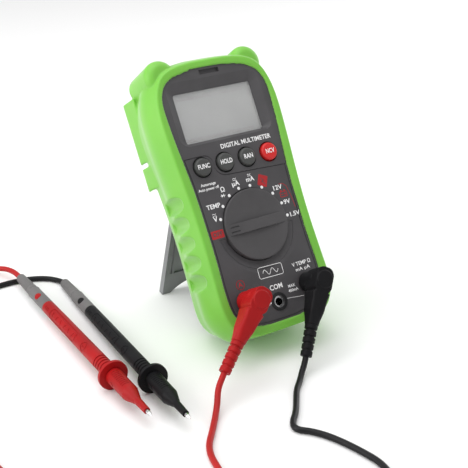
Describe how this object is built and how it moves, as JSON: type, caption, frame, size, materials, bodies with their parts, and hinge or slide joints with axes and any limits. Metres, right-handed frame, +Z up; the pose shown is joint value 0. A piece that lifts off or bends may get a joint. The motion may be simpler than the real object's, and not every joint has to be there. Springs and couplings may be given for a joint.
{
  "type": "digital multimeter",
  "caption": "Hand-held digital multimeter in a rubber holster, leaning on its kickstand, with a rotary selector, push buttons, sockets and plugged-in test leads.",
  "frame": {"origin": "bottom centre of the standing meter, on the floor it leans over", "axes": "+X to the right across the meter's width, +Y to the back, +Z up"},
  "size_m": [0.2093, 0.2983, 0.1367],
  "materials": {
    "front_shell": "fine texture",
    "face_label": "satin printed overlay",
    "rear_shell": "fine texture",
    "green_rubber": "satin soft rubber",
    "screw_steel": "zinc plated",
    "clear_window": "clear, polished",
    "lcd_grey": "grey display",
    "grey_moulding": "matt",
    "conductive_rubber": "striped",
    "circuit_board": "solder mask",
    "black_chip": "matt",
    "fuse_body": "glazed",
    "spring_brass": "bright",
    "nickel": "nickel plated",
    "battery_wrap": "printed sleeve",
    "black_socket": "satin",
    "knob_grey": "satin",
    "button_grey": "satin",
    "button_red": "satin",
    "stand_grey": "satin",
    "red_plastic": "satin",
    "black_plastic": "satin",
    "red_cord": "satin soft sheath",
    "black_cord": "satin soft sheath",
    "probe_grey": "matt",
    "red_socket": "satin",
    "tie_black": "satin"
  },
  "bodies": {
    "meter": {"front_case": "front_shell", "face_label": "face_label", "rear_case": "rear_shell", "battery_cover": "rear_shell", "holster": "green_rubber", "case_screws": "screw_steel", "battery_cover_screw": "screw_steel", "display_lens": "clear_window", "lcd_panel": "lcd_grey", "lcd_frame": "grey_moulding", "zebra_strips": "conductive_rubber", "main_board": "circuit_board", "measuring_chip": "black_chip", "buzzer": "black_chip", "button_switches": "grey_moulding", "fuse_left": "fuse_body", "fuse_right": "fuse_body", "fuse_clips": "spring_brass", "battery_left": "battery_wrap", "battery_right": "battery_wrap", "battery_contacts": "nickel", "jack_sleeve_left": "red_socket", "jack_sleeve_com": "black_socket", "jack_sleeve_right": "red_socket", "jack_contact_left": "nickel", "jack_contact_com": "nickel", "jack_contact_right": "nickel", "kickstand_pin": "screw_steel", "probe_boot_red": "probe_grey", "probe_collar_red": "probe_grey", "probe_barrel_red": "red_plastic", "probe_tip_red": "nickel", "lead_front_red": "red_cord", "lead_back_red": "red_cord", "lead_coil_red": "red_cord", "probe_boot_black": "probe_grey", "probe_collar_black": "probe_grey", "probe_barrel_black": "black_plastic", "probe_tip_black": "nickel", "lead_front_black": "black_cord", "lead_back_black": "black_cord", "lead_coil_black": "black_cord", "lead_tie_red": "tie_black", "lead_tie_black": "tie_black"},
    "selector": {"selector_knob": "knob_grey", "selector_rotor": "grey_moulding"},
    "func_button": {"func_button": "button_grey"},
    "hold_button": {"hold_button": "button_grey"},
    "range_button": {"range_button": "button_grey"},
    "ncv_button": {"ncv_button": "button_red"},
    "kickstand": {"kickstand": "stand_grey"},
    "plug_red": {"plug_body_red": "red_plastic", "plug_pin_red": "nickel", "plug_relief_red": "red_plastic"},
    "plug_black": {"plug_body_black": "black_plastic", "plug_pin_black": "nickel", "plug_relief_black": "black_plastic"},
    "cap_red": {"probe_cap_red": "red_plastic"},
    "cap_black": {"probe_cap_black": "black_plastic"}
  },
  "joints": [
    {"name": "selector_turn", "type": "hinge", "parent": "meter", "child": "selector", "pos_m": [0, -0.0237, 0.06086], "axis": [0, 0.8508, -0.5255], "range_deg": [0, 180]},
    {"name": "func_press", "type": "slide", "parent": "meter", "child": "func_button", "axis": [0, 0.8508, -0.5255], "range_m": [0, 0.0009], "stiffness_N_per_m": 400, "springref_m": -0.0004},
    {"name": "hold_press", "type": "slide", "parent": "meter", "child": "hold_button", "axis": [0, 0.8508, -0.5255], "range_m": [0, 0.0009], "stiffness_N_per_m": 400, "springref_m": -0.0004},
    {"name": "range_press", "type": "slide", "parent": "meter", "child": "range_button", "axis": [0, 0.8508, -0.5255], "range_m": [0, 0.0009], "stiffness_N_per_m": 400, "springref_m": -0.0004},
    {"name": "ncv_press", "type": "slide", "parent": "meter", "child": "ncv_button", "axis": [0, 0.8508, -0.5255], "range_m": [0, 0.0009], "stiffness_N_per_m": 400, "springref_m": -0.0004},
    {"name": "kickstand_fold", "type": "hinge", "parent": "meter", "child": "kickstand", "pos_m": [0, 0.024, 0.07206], "axis": [1, 0, 0], "range_deg": [-42.4, 0]},
    {"name": "plug_red_pull", "type": "slide", "parent": "meter", "child": "plug_red", "axis": [0, -0.8508, 0.5255], "range_m": [0, 0.022]},
    {"name": "plug_black_pull", "type": "slide", "parent": "meter", "child": "plug_black", "axis": [0, -0.8508, 0.5255], "range_m": [0, 0.022]},
    {"name": "cap_red_pull", "type": "slide", "parent": "meter", "child": "cap_red", "axis": [-0.0419, -0.999, 0.0154], "range_m": [0, 0.024]},
    {"name": "cap_black_pull", "type": "slide", "parent": "meter", "child": "cap_black", "axis": [-0.0923, -0.9948, 0.0421], "range_m": [0, 0.024]}
  ]
}
